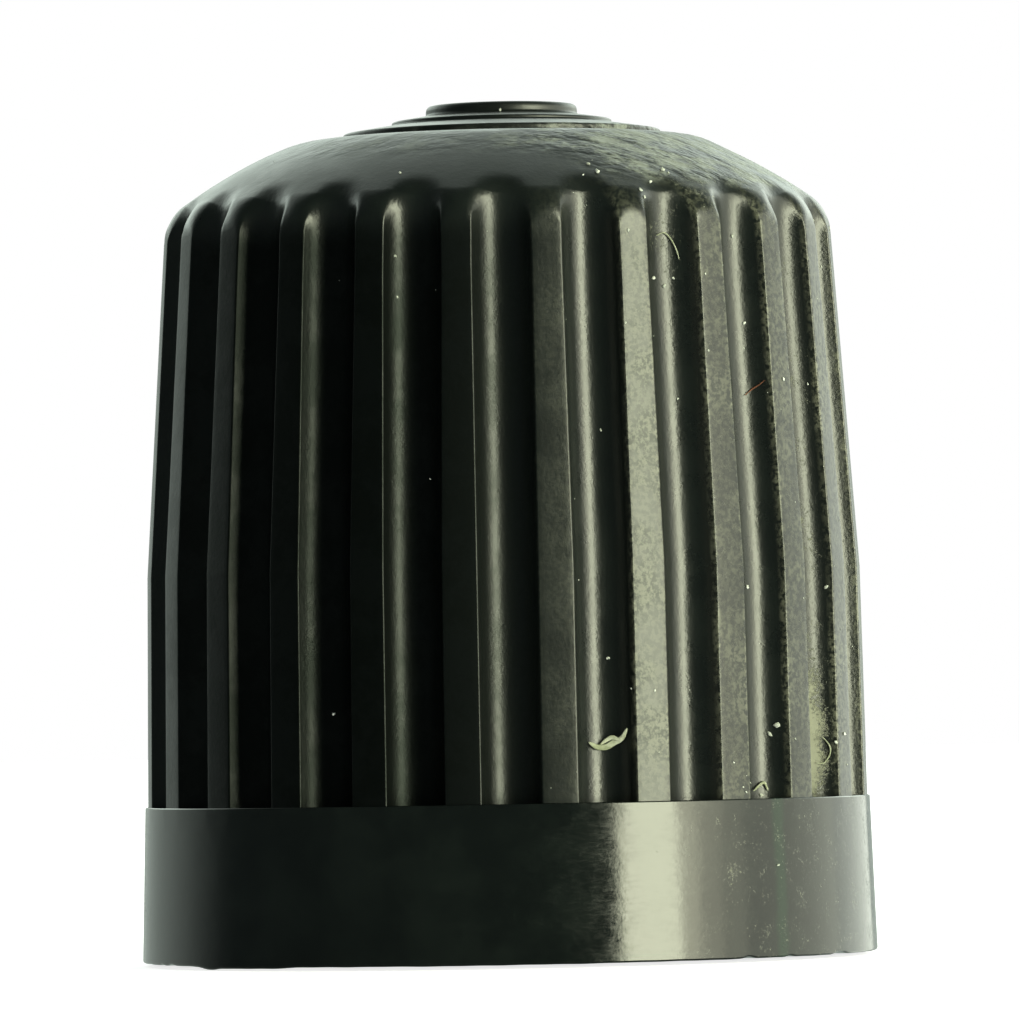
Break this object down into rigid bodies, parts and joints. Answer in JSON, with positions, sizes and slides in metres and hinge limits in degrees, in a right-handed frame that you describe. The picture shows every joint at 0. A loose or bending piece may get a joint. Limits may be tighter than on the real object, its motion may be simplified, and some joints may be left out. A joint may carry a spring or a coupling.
{
  "type": "tyre valve cap",
  "caption": "Fluted moulded plastic screw cap for a tyre valve stem, with a plain band at the rim, a domed top and a threaded blind bore.",
  "frame": {"origin": "centre of the open rim's plane, where the cap stands", "axes": "+Z along the cap's axis, from the open rim to the closed dome"},
  "size_m": [0.01, 0.01, 0.0115],
  "materials": {
    "cap_plastic": "moulded black plastic with a faint green cast, semi-gloss on the band and satin on the ribs and dome"
  },
  "bodies": {
    "root": {"cap": "cap_plastic"}
  },
  "joints": []
}
